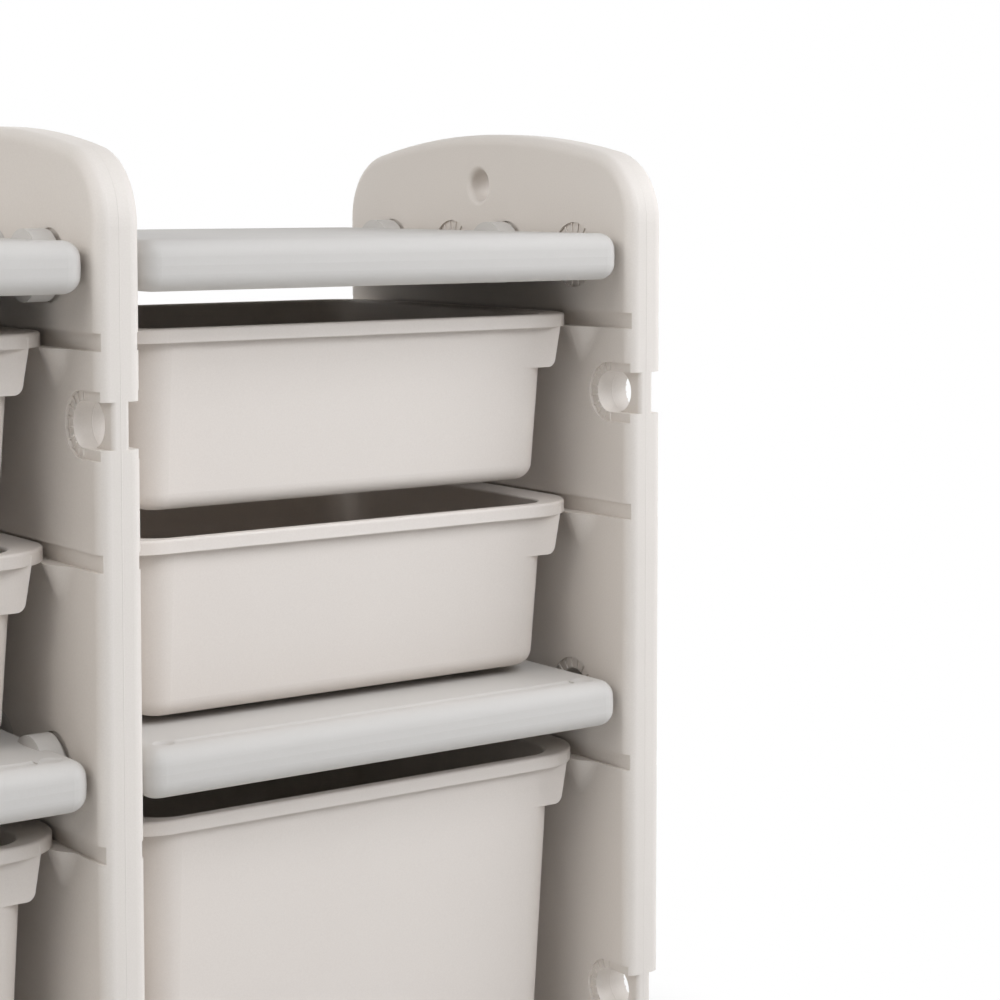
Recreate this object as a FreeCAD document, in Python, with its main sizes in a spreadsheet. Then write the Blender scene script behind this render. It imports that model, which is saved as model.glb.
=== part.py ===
import FreeCAD, Part
import math
import os

import Sketcher

# Toy storage cabinet: three upright panels, six shelves and six bins.
# The bins hang by their rims, which run in grooves along the panels.
# Frame: X along the cabinet, Y from front to back, Z up, origin under its middle on the floor.
# Lengths are in millimetres and angles in degrees.

SIZES = {
    # upright panels, hollow boards with an arched top
    "panel_thickness": 30,
    "panel_depth": 360,
    "panel_height": 798,
    "panel_edge_radius": 8,
    "arch_radius": 700,
    "arch_corner_radius": 50,
    "foot_corner_radius": 12,
    "moulding_wall": 2.5,
    "arch_hole_radius": 15.5,
    "arch_hole_drop": 38,
    "arch_hole_rounding": 4,
    # clear width between two panels
    "bay_width": 376,
    # sockets in the panels that take the shelf ends
    "socket_drop": 87,
    "socket_near": 35,
    "socket_setback": 64,
    "socket_radius": 15,
    "socket_ring_radius": 23,
    "socket_ring_depth": 2,
    # grooves along the panel faces and the brackets under them
    "groove_height": 11,
    "groove_depth": 3,
    "bracket_setback": 57,
    "bracket_width": 34,
    "bracket_reach": 9,
    "bracket_height": 24,
    "bracket_blend_radius": 12,
    # notched holes at the panels' front edge, for hooks
    "hook_hole_radius": 14.45,
    "hook_hole_setback": 24,
    "hook_hole_drop": 182,
    "hook_hole_rise": 190,
    "hook_ring_radius": 20.8,
    "hook_ring_depth": 2.4,
    "hook_slot_depth": 9,
    "hook_post_rounding": 3,
    # shelves, hollow boards with a mould line at half height
    "shelf_thickness": 32,
    "shelf_setback": 5,
    "shelf_end_gap": 3,
    "shelf_corner_radius": 13,
    "shelf_edge_radius": 11,
    "shelf_draft": 2.5,
    # round bosses at the shelf ends
    "boss_radius": 22.5,
    "boss_length": 15,
    "boss_slope_length": 1.2,
    "shoulder_radius": 16.5,
    "spigot_length": 14,
    # dimples and channels along the long edges of a shelf
    "dimple_radius": 7,
    "dimple_depth": 1.5,
    "dimple_end_inset": 20,
    "dimple_edge_inset": 17,
    "channel_width": 9,
    "channel_depth": 1,
    "channel_gap": 3,
    # bolts that hold the shelves, and caps that close the other sockets of the end panels
    "bolt_shank_radius": 8,
    "bolt_reach": 12,
    "head_dish_radius": 17,
    "head_dish_depth": 0.6,
    "cap_plug_length": 8,
    "fit_clearance": 0.3,
    # bins
    "rim_in_groove": 2,
    "rim_height": 9,
    "rim_flange": 2.5,
    "rim_lip": 2.5,
    "rim_corner_radius": 44,
    "rim_rounding": 1.8,
    "rim_end_overhang": 6,
    "rim_side_overhang": 25,
    "bin_wall": 2.5,
    "bin_corner_radius": 26,
    "bin_foot_radius": 12,
    "bin_front_setback": 48,
    "bin_rear_setback": 15.5,
    "bin_top_gap": 24.9,
    "bin_stack_gap": 15.8,
    "bin_floor_gap": 5.3,
    "small_bin_draft": 4.2,
    "large_bin_draft": 3.1,
    "large_bin_forward": 8,
    "large_bin_top_gap": 22.7,
    "large_bin_floor_gap": 6,
    "rail_clearance": 0.3,
    # pull ear under the right front corner of a bin's rim
    "ear_height": 28.6,
    "ear_inset": 19,
    "ear_lean": 8,
    "ear_corner_radius": 6,
    "ear_thickness": 3,
    # how far every cut runs past the surface that it opens
    "cut_overrun": 4,
}

# Two lengths that differ by no more than this are the same.
ROUNDING = 1e-6

COLUMNS = {"left": -1, "right": 1}
PANELS = {"left": -1, "middle": 0, "right": 1}
FACES = {"left": -1, "right": 1}

# Expressions that several pieces share
HALF_PANEL = "sizes.panel_thickness / 2"
HALF_DEPTH = "sizes.panel_depth / 2"
PANEL_PITCH = "(sizes.bay_width + sizes.panel_thickness)"
LEVELS = {
    "bottom": "sizes.socket_drop",
    "middle": "sizes.panel_height / 2",
    "top": "(sizes.panel_height - sizes.socket_drop)",
}
SOCKETS = {
    "rear": f"({HALF_DEPTH} - sizes.socket_setback)",
    "mid_rear": "sizes.socket_near",
    "mid_front": "-sizes.socket_near",
    "front": f"-({HALF_DEPTH} - sizes.socket_setback)",
}
HOOK_LEVELS = {"upper": "(sizes.panel_height - sizes.hook_hole_drop)", "lower": "sizes.hook_hole_rise"}
ARCH_HOLE_LEVEL = "(sizes.panel_height - sizes.arch_hole_drop)"
ARCH_HOLE_WALL_RADIUS = "(sizes.arch_hole_radius - sizes.arch_hole_rounding)"
# A shelf is the same at both ends, so turning it end for end swaps its two sockets for the others.
SHELF_SOCKETS = {"right": ("rear", "mid_front"), "left": ("mid_rear", "front")}
SPARE_SOCKETS = {"right": SHELF_SOCKETS["left"], "left": SHELF_SOCKETS["right"]}

UPPER_BAY = f"({LEVELS['top']} - {LEVELS['middle']} - sizes.shelf_thickness)"
LOWER_BAY = f"({LEVELS['middle']} - {LEVELS['bottom']} - sizes.shelf_thickness)"
BIN_HEIGHTS = {
    "small": f"(({UPPER_BAY} - sizes.bin_top_gap - sizes.bin_stack_gap - sizes.bin_floor_gap) / 2)",
    "large": f"({LOWER_BAY} - sizes.large_bin_top_gap - sizes.large_bin_floor_gap)",
}
# Undersides of the three rims above the floor; the ledges lie a running clearance below them.
RIM_LEVELS = {
    "upper": f"({LEVELS['top']} - sizes.shelf_thickness / 2 - sizes.bin_top_gap - sizes.rim_height)",
    "lower": f"({LEVELS['middle']} + sizes.shelf_thickness / 2 + sizes.bin_floor_gap"
             f" + {BIN_HEIGHTS['small']} - sizes.rim_height)",
    "large": f"({LEVELS['middle']} - sizes.shelf_thickness / 2 - sizes.large_bin_top_gap - sizes.rim_height)",
}
LEDGES = {row: f"({level} - sizes.rail_clearance)" for row, level in RIM_LEVELS.items()}

SHELF_LENGTH = "(sizes.bay_width - 2 * sizes.shelf_end_gap)"
SHELF_DEPTH = "(sizes.panel_depth - 2 * sizes.shelf_setback)"
SPIGOT_RADIUS = "(sizes.socket_radius - sizes.fit_clearance)"
HEAD_RADIUS = "(sizes.socket_ring_radius - sizes.fit_clearance)"
PANEL_WEB = "(sizes.panel_thickness - 2 * sizes.socket_ring_depth)"

RIM_WIDTH = "(sizes.bay_width + 2 * sizes.rim_in_groove)"
RIM_DEPTH = "(sizes.panel_depth - sizes.bin_front_setback - sizes.bin_rear_setback)"
WALL_WIDTH = f"({RIM_WIDTH} - 2 * sizes.rim_side_overhang)"
WALL_DEPTH = f"({RIM_DEPTH} - 2 * sizes.rim_end_overhang)"
EAR_ROOT = f"({WALL_WIDTH} / 2 - sizes.bin_corner_radius - sizes.ear_thickness)"
EAR_TIP = "(sizes.bay_width / 2 - sizes.ear_inset)"


def make_sheet(doc):
    """Write the driving dimensions into the document's spreadsheet."""
    sheet = doc.addObject("Spreadsheet::Sheet", "sizes")
    for row, (alias, value) in enumerate(SIZES.items(), start=1):
        sheet.set(f"A{row}", alias.replace("_", " "))
        sheet.set(f"B{row}", str(value))
        sheet.setAlias(f"B{row}", alias)
    doc.recompute()
    return sheet


def value_of(doc, expression):
    """Work out an expression on the spreadsheet's values."""
    return float(doc.sizes.evalExpression(expression.replace("sizes.", "")))


def bind(thing, **expressions):
    """Bind properties to expressions; two underscores in a name stand for a dot."""
    for name, expression in expressions.items():
        thing.setExpression(name.replace("__", "."), expression)
    return thing


def place(thing, x="0", y="0", z="0", turn=None):
    """Bind the place of an object, after turning it where a turn is given."""
    if turn is not None:
        thing.Placement = FreeCAD.Placement(FreeCAD.Vector(), turn)
    return bind(thing, Placement__Base__x=x, Placement__Base__y=y, Placement__Base__z=z)


def along_x():
    """Turn that lays a cylinder's axis along +X."""
    return FreeCAD.Rotation(FreeCAD.Vector(0, 1, 0), 90)


def end_for_end():
    """Half turn about the vertical axis."""
    return FreeCAD.Rotation(FreeCAD.Vector(0, 0, 1), 180)


def box(doc, name, length, width, height, x, y, z):
    """Box from its lowest corner."""
    solid = bind(doc.addObject("Part::Box", name), Length=length, Width=width, Height=height)
    return place(solid, x, y, z)


def rod(doc, name, radius, length, x, y, z):
    """Cylinder along +X from the centre of its first end."""
    solid = bind(doc.addObject("Part::Cylinder", name), Radius=radius, Height=length)
    return place(solid, x, y, z, along_x())


def fuse(doc, name, solids):
    """Join solids into one."""
    joined = doc.addObject("Part::MultiFuse", name)
    joined.Shapes = solids
    joined.Refine = True
    return joined


def cut(doc, name, base, tool):
    """Take one solid away from another."""
    rest = doc.addObject("Part::Cut", name)
    rest.Base = base
    rest.Tool = tool
    return rest


def common(doc, name, base, tool):
    """Keep what two solids share."""
    shared = doc.addObject("Part::Common", name)
    shared.Base = base
    shared.Tool = tool
    return shared


def group(doc, name, members):
    """Hold several solids together without joining them."""
    held = doc.addObject("Part::Compound", name)
    held.Links = members
    return held


def copy_of(doc, name, master, x="0", y="0", z="0", turn=None):
    """Another piece of the same shape, at a place of its own."""
    return place(group(doc, name, [master]), x, y, z, turn)


def round_edges(doc, name, base, radius, chosen):
    """Fillet of the edges of base that the test picks."""
    doc.recompute()
    fillet = doc.addObject("Part::Fillet", name)
    fillet.Base = base
    size = value_of(doc, radius)
    picked = [number for number, edge in enumerate(base.Shape.Edges, start=1) if chosen(edge)]
    fillet.Edges = [(number, size, size) for number in picked]
    return fillet


def same(first, second):
    """Whether two lengths agree to within rounding."""
    return math.isclose(first, second, rel_tol=ROUNDING, abs_tol=ROUNDING)


def runs_along_x(edge):
    """Whether a straight edge lies along X."""
    run = edge.Vertexes[-1].Point - edge.Vertexes[0].Point
    return not same(run.x, 0) and same(abs(run.x), run.Length)


def runs_along_z(edge):
    """Whether a straight edge lies along Z."""
    run = edge.Vertexes[-1].Point - edge.Vertexes[0].Point
    return not same(run.z, 0) and same(abs(run.z), run.Length)


def lies_across_x(edge):
    """Whether an edge lies in a plane square to X."""
    return same(edge.BoundBox.XLength, 0)


def is_curved(edge):
    """Whether an edge is anything but a straight line."""
    return not isinstance(edge.Curve, Part.Line)


# Panels

def arched_board(doc, name, thickness, inset):
    """Plain board of the panel's outline, drawn in all round by the inset."""
    start = f"-{thickness} / 2"
    blank = box(doc, f"{name}_blank", thickness, f"sizes.panel_depth - 2 * {inset}",
                f"sizes.panel_height - 2 * {inset}", start, f"-{HALF_DEPTH} + {inset}", inset)
    arch = rod(doc, f"{name}_arch", f"sizes.arch_radius - {inset}", thickness, start, "0",
               "sizes.panel_height - sizes.arch_radius")
    arched = common(doc, f"{name}_arched", blank, arch)
    half_height = value_of(doc, "sizes.panel_height / 2")
    shoulders = round_edges(doc, f"{name}_shoulders", arched, f"sizes.arch_corner_radius - {inset}",
                            lambda edge: runs_along_x(edge) and edge.CenterOfMass.z > half_height)
    foot = value_of(doc, inset)
    return round_edges(doc, f"{name}_feet", shoulders, f"sizes.foot_corner_radius - {inset}",
                       lambda edge: runs_along_x(edge) and same(edge.CenterOfMass.z, foot))


def panel_outline(doc):
    """Solid board with an arched top and rounded edges, centred on its own middle plane."""
    board = arched_board(doc, "panel", "sizes.panel_thickness", "0")
    return round_edges(doc, "panel_rounded", board, "sizes.panel_edge_radius", lies_across_x)


def panel_brackets(doc):
    """Half cones with flat tops that blend into the faces, under both ends of every groove."""
    curve = "((sizes.bracket_width / 2)^2 + sizes.bracket_reach^2) / (2 * sizes.bracket_reach)"
    cone = bind(doc.addObject("Part::Cone", "bracket_cone"), Height="sizes.bracket_height",
                Radius1=f"{curve} - sizes.bracket_reach", Radius2=curve)
    place(cone, f"{HALF_PANEL} + sizes.bracket_reach - {curve}", "0", "-sizes.bracket_height")
    half = box(doc, "bracket_half", "sizes.bracket_reach + sizes.moulding_wall / 2", "sizes.bracket_width",
               "sizes.bracket_height", f"{HALF_PANEL} - sizes.moulding_wall / 2",
               "-sizes.bracket_width / 2", "-sizes.bracket_height")
    spread = "sizes.bracket_blend_radius"
    plate = box(doc, "bracket_plate", "sizes.moulding_wall / 2", f"sizes.bracket_width + 2 * {spread}",
                f"sizes.bracket_height + {spread}", f"{HALF_PANEL} - sizes.moulding_wall / 2",
                f"-sizes.bracket_width / 2 - {spread}", f"-sizes.bracket_height - {spread}")
    joined = fuse(doc, "bracket_on_plate", [common(doc, "bracket_cone_half", cone, half), plate])
    board_face = value_of(doc, HALF_PANEL)

    def is_foot_edge(edge):
        """Whether an edge is one of the curves where the half cone meets the panel's face."""
        return lies_across_x(edge) and same(edge.CenterOfMass.x, board_face) and is_curved(edge)

    bracket = round_edges(doc, "bracket", joined, spread, is_foot_edge)
    brackets = []
    for row, ledge in LEDGES.items():
        for face, side in FACES.items():
            for end in (-1, 1):
                spot = f"{end} * ({HALF_DEPTH} - sizes.bracket_setback)"
                turn = end_for_end() if side < 0 else None
                name = f"bracket_{row}_{face}_{'front' if end < 0 else 'rear'}"
                brackets.append(copy_of(doc, name, bracket, "0", spot, ledge, turn))
    return brackets


def face_start(side, depth):
    """X where a recess of the given depth starts, on the face at that side."""
    return f"{HALF_PANEL} - {depth}" if side > 0 else f"-{HALF_PANEL} - sizes.cut_overrun"


def panel_cuts(doc):
    """Grooves, sockets, hook holes and the arch hole of a panel."""
    cuts = []
    through = "sizes.panel_thickness + 2 * sizes.cut_overrun"
    outside = f"-{HALF_PANEL} - sizes.cut_overrun"
    for row, ledge in LEDGES.items():
        for face, side in FACES.items():
            cuts.append(box(doc, f"groove_{row}_{face}", "sizes.groove_depth + sizes.cut_overrun",
                            "sizes.panel_depth + 2 * sizes.cut_overrun", "sizes.groove_height",
                            face_start(side, "sizes.groove_depth"),
                            f"-{HALF_DEPTH} - sizes.cut_overrun", ledge))
    for level, height in LEVELS.items():
        for socket, spot in SOCKETS.items():
            name = f"socket_{level}_{socket}"
            cuts.append(rod(doc, name, "sizes.socket_radius", through, outside, spot, height))
            for face, side in FACES.items():
                cuts.append(rod(doc, f"{name}_{face}", "sizes.socket_ring_radius",
                                "sizes.socket_ring_depth + sizes.cut_overrun",
                                face_start(side, "sizes.socket_ring_depth"), spot, height))
    hook_spot = f"-{HALF_DEPTH} + sizes.hook_hole_setback"
    front = f"-{HALF_DEPTH} - sizes.cut_overrun"
    to_front = "sizes.hook_hole_setback + sizes.cut_overrun"
    for row, height in HOOK_LEVELS.items():
        cuts.append(rod(doc, f"hook_hole_{row}", "sizes.hook_hole_radius", through, outside, hook_spot,
                        height))
        for face, side in FACES.items():
            ring_start = face_start(side, "sizes.hook_ring_depth")
            ring_cut = "sizes.hook_ring_depth + sizes.cut_overrun"
            cuts.append(rod(doc, f"hook_ring_{row}_{face}", "sizes.hook_ring_radius", ring_cut,
                            ring_start, hook_spot, height))
            cuts.append(box(doc, f"hook_mouth_{row}_{face}", ring_cut, to_front, "2 * sizes.hook_ring_radius",
                            ring_start, front, f"{height} - sizes.hook_ring_radius"))
            cuts.append(box(doc, f"hook_slot_{row}_{face}", "sizes.hook_slot_depth + sizes.cut_overrun",
                            to_front, "2 * sizes.hook_hole_radius", face_start(side, "sizes.hook_slot_depth"),
                            front, f"{height} - sizes.hook_hole_radius"))
    cuts.append(rod(doc, "arch_hole", ARCH_HOLE_WALL_RADIUS, through, outside, "0", ARCH_HOLE_LEVEL))
    return cuts


def panel_cavity(doc):
    """Space inside a panel: what its walls, sockets, grooves and holes leave free."""
    wall = "sizes.moulding_wall"
    room = arched_board(doc, "panel_room", f"(sizes.panel_thickness - 2 * {wall})", "sizes.panel_edge_radius")
    across = "sizes.panel_thickness"
    kept = []
    for row, ledge in LEDGES.items():
        for face, side in FACES.items():
            start = f"{HALF_PANEL} - sizes.groove_depth - {wall}" if side > 0 else f"-{HALF_PANEL}"
            kept.append(box(doc, f"groove_wall_{row}_{face}", f"sizes.groove_depth + {wall}",
                            "sizes.panel_depth", f"sizes.groove_height + 2 * {wall}",
                            start, f"-{HALF_DEPTH}", f"{ledge} - {wall}"))
    for level, height in LEVELS.items():
        for socket, spot in SOCKETS.items():
            kept.append(rod(doc, f"socket_wall_{level}_{socket}", f"sizes.socket_ring_radius + {wall}",
                            across, f"-{HALF_PANEL}", spot, height))
    for row, height in HOOK_LEVELS.items():
        kept.append(box(doc, f"hook_wall_{row}", across,
                        f"sizes.hook_hole_setback + sizes.hook_ring_radius + {wall}",
                        f"2 * (sizes.hook_ring_radius + {wall})", f"-{HALF_PANEL}", f"-{HALF_DEPTH}",
                        f"{height} - sizes.hook_ring_radius - {wall}"))
    kept.append(rod(doc, "arch_hole_wall", f"sizes.arch_hole_radius + {wall}", across, f"-{HALF_PANEL}", "0",
                    ARCH_HOLE_LEVEL))
    return cut(doc, "panel_cavity", room, fuse(doc, "panel_kept", kept))


def make_panel(doc):
    """One upright panel, hollow, with all its moulded features."""
    board = fuse(doc, "panel_with_brackets", [panel_outline(doc), *panel_brackets(doc)])
    opened = cut(doc, "panel_opened", board, fuse(doc, "panel_openings", panel_cuts(doc)))
    doc.recompute()
    rim = value_of(doc, ARCH_HOLE_WALL_RADIUS)
    centre = value_of(doc, ARCH_HOLE_LEVEL)

    def is_arch_rim(edge):
        """Whether an edge is one of the two circles of the arch hole."""
        is_circle = isinstance(edge.Curve, Part.Circle)
        return is_circle and same(edge.Curve.Radius, rim) and same(edge.Curve.Center.z, centre)

    post_side = value_of(doc, f"{HALF_PANEL} - sizes.hook_slot_depth")
    front = value_of(doc, f"-{HALF_DEPTH}")

    def is_post_edge(edge):
        """Whether an edge is one of the two upright front edges of a hook hole's post."""
        middle = edge.CenterOfMass
        return runs_along_z(edge) and same(abs(middle.x), post_side) and same(middle.y, front)

    rimmed = round_edges(doc, "panel_rimmed", opened, "sizes.arch_hole_rounding", is_arch_rim)
    softened = round_edges(doc, "panel_softened", rimmed, "sizes.hook_post_rounding", is_post_edge)
    return cut(doc, "panel_master", softened, panel_cavity(doc))


# Sketches

def plane_of(body, role):
    """One of a body's own origin planes."""
    return next(feature for feature in body.Origin.OriginFeatures if feature.Role == role)


def add_sketch(body, name, role, offset):
    """Empty sketch on an origin plane, moved along the plane's normal."""
    sketch = body.newObject("Sketcher::SketchObject", name)
    sketch.AttachmentSupport = (plane_of(body, role), [""])
    sketch.MapMode = "FlatFace"
    return bind(sketch, AttachmentOffset__Base__z=offset)


def name_constraint(sketch, number, name, expression):
    """Name a dimension of a sketch and bind it."""
    sketch.renameConstraint(number, name)
    sketch.setExpression(f"Constraints.{name}", expression)


def draw_rounded_rectangle(doc, sketch, label, width, depth, radius):
    """Rectangle with round corners, centred on the sketch's origin."""
    half_width = value_of(doc, width) / 2
    half_depth = value_of(doc, depth) / 2
    bend = value_of(doc, radius)
    first = sketch.GeometryCount
    up = FreeCAD.Vector(0, 0, 1)
    corners = [(1, -1), (1, 1), (-1, 1), (-1, -1)]
    centres = [FreeCAD.Vector(sx * (half_width - bend), sy * (half_depth - bend), 0) for sx, sy in corners]
    for number, centre in enumerate(centres):
        before = centres[number - 1]
        outward = FreeCAD.Vector([0, 1, 0, -1][number], [-1, 0, 1, 0][number], 0) * bend
        sketch.addGeometry(Part.LineSegment(before + outward, centre + outward))
        start = math.radians(90 * (number - 1))
        sketch.addGeometry(Part.ArcOfCircle(Part.Circle(centre, up, bend), start, start + math.radians(90)))
    lines = [first + 2 * number for number in range(len(corners))]
    arcs = [line + 1 for line in lines]
    for number, (line, arc) in enumerate(zip(lines, arcs)):
        following = lines[(number + 1) % len(lines)]
        sketch.addConstraint(Sketcher.Constraint("Tangent", line, 2, arc, 1))
        sketch.addConstraint(Sketcher.Constraint("Tangent", arc, 2, following, 1))
        sketch.addConstraint(Sketcher.Constraint("Vertical" if number % 2 else "Horizontal", line))
    for arc in arcs[1:]:
        sketch.addConstraint(Sketcher.Constraint("Equal", arcs[0], arc))
    sketch.addConstraint(Sketcher.Constraint("Symmetric", arcs[0], 3, arcs[2], 3, -1, 1))
    number = sketch.addConstraint(Sketcher.Constraint("Radius", arcs[0], bend))
    name_constraint(sketch, number, f"{label}_radius", radius)
    number = sketch.addConstraint(Sketcher.Constraint("DistanceX", lines[3], 1, lines[1], 1, 2 * half_width))
    name_constraint(sketch, number, f"{label}_width", width)
    number = sketch.addConstraint(Sketcher.Constraint("DistanceY", lines[0], 1, lines[2], 1, 2 * half_depth))
    name_constraint(sketch, number, f"{label}_depth", depth)
    return sketch


def pad(body, name, sketch, length, reverse=False, draft="0"):
    """Raise a sketch into a solid, drawn in by the draft."""
    feature = body.newObject("PartDesign::Pad", name)
    feature.Profile = sketch
    feature.Reversed = reverse
    return bind(feature, Length=length, TaperAngle=draft)


def pocket(body, name, sketch, length, reverse=False, draft="0"):
    """Sink a sketch into a solid, drawn in by the draft."""
    feature = body.newObject("PartDesign::Pocket", name)
    feature.Profile = sketch
    feature.Reversed = reverse
    return bind(feature, Length=length, TaperAngle=draft)


def flat_faces(shape, height):
    """Names of the level faces at a height."""
    return [f"Face{number}" for number, face in enumerate(shape.Faces, start=1)
            if isinstance(face.Surface, Part.Plane) and same(face.BoundBox.ZLength, 0)
            and same(face.CenterOfMass.z, height)]


def soften(doc, body, name, base, heights, radius):
    """Fillet round the level faces at the given heights."""
    doc.recompute()
    feature = body.newObject("PartDesign::Fillet", name)
    faces = [face for height in heights for face in flat_faces(base.Shape, value_of(doc, height))]
    feature.Base = (base, faces)
    return bind(feature, Radius=radius)


# Shelves

def shelf_board(doc):
    """Board drafted both ways from the mould line, with rounded edges."""
    body = doc.addObject("PartDesign::Body", "shelf_board")
    half = "sizes.shelf_thickness / 2"
    sketch = add_sketch(body, "shelf_plan", "XY_Plane", "0")
    draw_rounded_rectangle(doc, sketch, "shelf", SHELF_LENGTH, SHELF_DEPTH, "sizes.shelf_corner_radius")
    pad(body, "shelf_upper_half", sketch, half, draft="-sizes.shelf_draft")
    lower = pad(body, "shelf_lower_half", sketch, half, reverse=True, draft="-sizes.shelf_draft")
    soften(doc, body, "shelf_rounded", lower, (half, f"-{half}"), "sizes.shelf_edge_radius")
    return body


def shelf_ends(doc):
    """Bosses, shoulders and spigots, two at each end of a shelf, along its right column's sockets."""
    pieces = []
    bores = []
    walls = []
    end_face = f"({SHELF_LENGTH} / 2)"
    seat = "(sizes.bay_width / 2 + sizes.socket_ring_depth)"
    spigot_end = f"({seat} + sizes.spigot_length)"
    bore_radius = "(sizes.bolt_shank_radius + sizes.fit_clearance)"
    bore_length = "(sizes.spigot_length + sizes.bolt_reach + sizes.fit_clearance)"
    for side in FACES.values():
        for socket in SHELF_SOCKETS["right"]:
            name = f"{socket}_{'right' if side > 0 else 'left'}"
            spot = SOCKETS[socket]

            def piece(kind, radius, inner, outer):
                """Cylinder between two distances from the shelf's middle, at this end."""
                start = inner if side > 0 else f"-{outer}"
                return rod(doc, f"{kind}_{name}", radius, f"{outer} - {inner}", start, spot, "0")

            boss_start = f"({end_face} - sizes.boss_length)"
            slope = bind(doc.addObject("Part::Cone", f"boss_slope_{name}"), Height="sizes.boss_slope_length",
                         Radius1="sizes.shelf_thickness / 2" if side > 0 else "sizes.boss_radius",
                         Radius2="sizes.boss_radius" if side > 0 else "sizes.shelf_thickness / 2")
            slope_start = f"{boss_start} - sizes.boss_slope_length" if side > 0 else f"-{boss_start}"
            place(slope, slope_start, spot, "0", along_x())
            pieces.append(slope)
            pieces.append(piece("boss", "sizes.boss_radius", boss_start, end_face))
            pieces.append(piece("shoulder", "sizes.shoulder_radius", boss_start, seat))
            pieces.append(piece("spigot", SPIGOT_RADIUS, boss_start, spigot_end))
            bores.append(piece("bolt_bore", bore_radius, f"({spigot_end} - {bore_length})",
                               f"({spigot_end} + sizes.cut_overrun)"))
            walls.append(piece("boss_wall", "sizes.boss_radius", f"({boss_start} - sizes.boss_slope_length)",
                               end_face))
    return pieces, bores, walls


def shelf_marks(doc):
    """Dished dimples at the corners of a shelf's top, and the shallow channels between them."""
    marks = []
    top = "sizes.shelf_thickness / 2"
    bowl = "(sizes.dimple_radius^2 + sizes.dimple_depth^2) / (2 * sizes.dimple_depth)"
    curve = "((sizes.channel_width / 2)^2 + sizes.channel_depth^2) / (2 * sizes.channel_depth)"
    row = f"({SHELF_DEPTH} / 2 - sizes.dimple_edge_inset)"
    column = f"({SHELF_LENGTH} / 2 - sizes.dimple_end_inset)"
    start = f"({column} - sizes.dimple_radius - sizes.channel_gap)"
    for edge in (-1, 1):
        for end in (-1, 1):
            name = f"dimple_{'front' if edge < 0 else 'rear'}_{'left' if end < 0 else 'right'}"
            dimple = bind(doc.addObject("Part::Sphere", name), Radius=bowl)
            marks.append(place(dimple, f"{end} * {column}", f"{edge} * {row}",
                               f"{top} - sizes.dimple_depth + {bowl}"))
        marks.append(rod(doc, f"channel_{'front' if edge < 0 else 'rear'}", curve, f"2 * {start}",
                         f"-{start}", f"{edge} * {row}", f"{top} - sizes.channel_depth + {curve}"))
    return marks


def make_shelf(doc):
    """One shelf, hollow, centred on its own middle, with its bosses in the right column's places."""
    pieces, bores, walls = shelf_ends(doc)
    full = fuse(doc, "shelf_full", [shelf_board(doc), *pieces])
    half_length = f"({SHELF_LENGTH} / 2 - sizes.shelf_edge_radius)"
    half_depth = f"({SHELF_DEPTH} / 2 - sizes.shelf_edge_radius)"
    room = box(doc, "shelf_room", f"2 * {half_length}", f"2 * {half_depth}",
               "sizes.shelf_thickness - 2 * sizes.moulding_wall - sizes.dimple_depth",
               f"-{half_length}", f"-{half_depth}", "-sizes.shelf_thickness / 2 + sizes.moulding_wall")
    cavity = cut(doc, "shelf_cavity", room, fuse(doc, "shelf_kept", walls))
    return cut(doc, "shelf_master", full, fuse(doc, "shelf_cuts", [cavity, *bores, *shelf_marks(doc)]))


# Bolts and caps

def dished_head(doc, name):
    """Flat round head that fills a socket's ring, with a shallow dish; its face is at x = 0."""
    ring = "sizes.socket_ring_depth"
    head = rod(doc, f"{name}_head", HEAD_RADIUS, ring, f"-{ring}", "0", "0")
    dish = rod(doc, f"{name}_dish", "sizes.head_dish_radius", "sizes.head_dish_depth + sizes.cut_overrun",
               "-sizes.head_dish_depth", "0", "0")
    return head, dish


def make_bolt(doc):
    """Bolt that comes through the panel into a shelf's spigot; it points along -X from its head."""
    head, dish = dished_head(doc, "bolt")
    barrel_length = f"({PANEL_WEB} - sizes.spigot_length - sizes.fit_clearance + sizes.socket_ring_depth)"
    barrel = rod(doc, "bolt_barrel", SPIGOT_RADIUS, barrel_length, f"-{barrel_length}", "0", "0")
    reach = f"({PANEL_WEB} + sizes.bolt_reach + sizes.socket_ring_depth)"
    shank = rod(doc, "bolt_shank", "sizes.bolt_shank_radius", reach, f"-{reach}", "0", "0")
    return cut(doc, "bolt_master", fuse(doc, "bolt_solid", [head, barrel, shank]), dish)


def make_cap(doc):
    """Cap with a short plug, for the outer end of a socket that no shelf uses; it points along -X."""
    head, dish = dished_head(doc, "cap")
    depth = "(sizes.cap_plug_length + sizes.socket_ring_depth)"
    plug = rod(doc, "cap_plug", SPIGOT_RADIUS, depth, f"-{depth}", "0", "0")
    return cut(doc, "cap_master", fuse(doc, "cap_solid", [head, plug]), dish)


def fasteners(doc, name, master, panel, spots):
    """Group of bolts or caps in one panel; each spot is a face, a socket and a level."""
    members = []
    for face, socket, level in spots:
        side = FACES[face]
        x = f"{PANELS[panel]} * {PANEL_PITCH} + {side} * {HALF_PANEL}"
        turn = end_for_end() if side < 0 else None
        member = f"{name}_{level}_{socket}_{face}"
        members.append(copy_of(doc, member, master, x, SOCKETS[socket], LEVELS[level], turn))
    return group(doc, name, members)


def bolt_spots(panel):
    """Faces, sockets and levels where bolts enter a panel, each opposite a shelf's end."""
    outer = {"left": [("left", "left")], "right": [("right", "right")]}
    inner = {"middle": [("left", "right"), ("right", "left")]}
    pairs = {**outer, **inner}[panel]
    return [(face, socket, level) for face, column in pairs
            for socket in SHELF_SOCKETS[column] for level in LEVELS]


def cap_spots(panel):
    """Outer face, sockets and levels of an end panel where no bolt goes in."""
    return [(panel, socket, level) for level in LEVELS for socket in SPARE_SOCKETS[panel]]


# Bins

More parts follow.
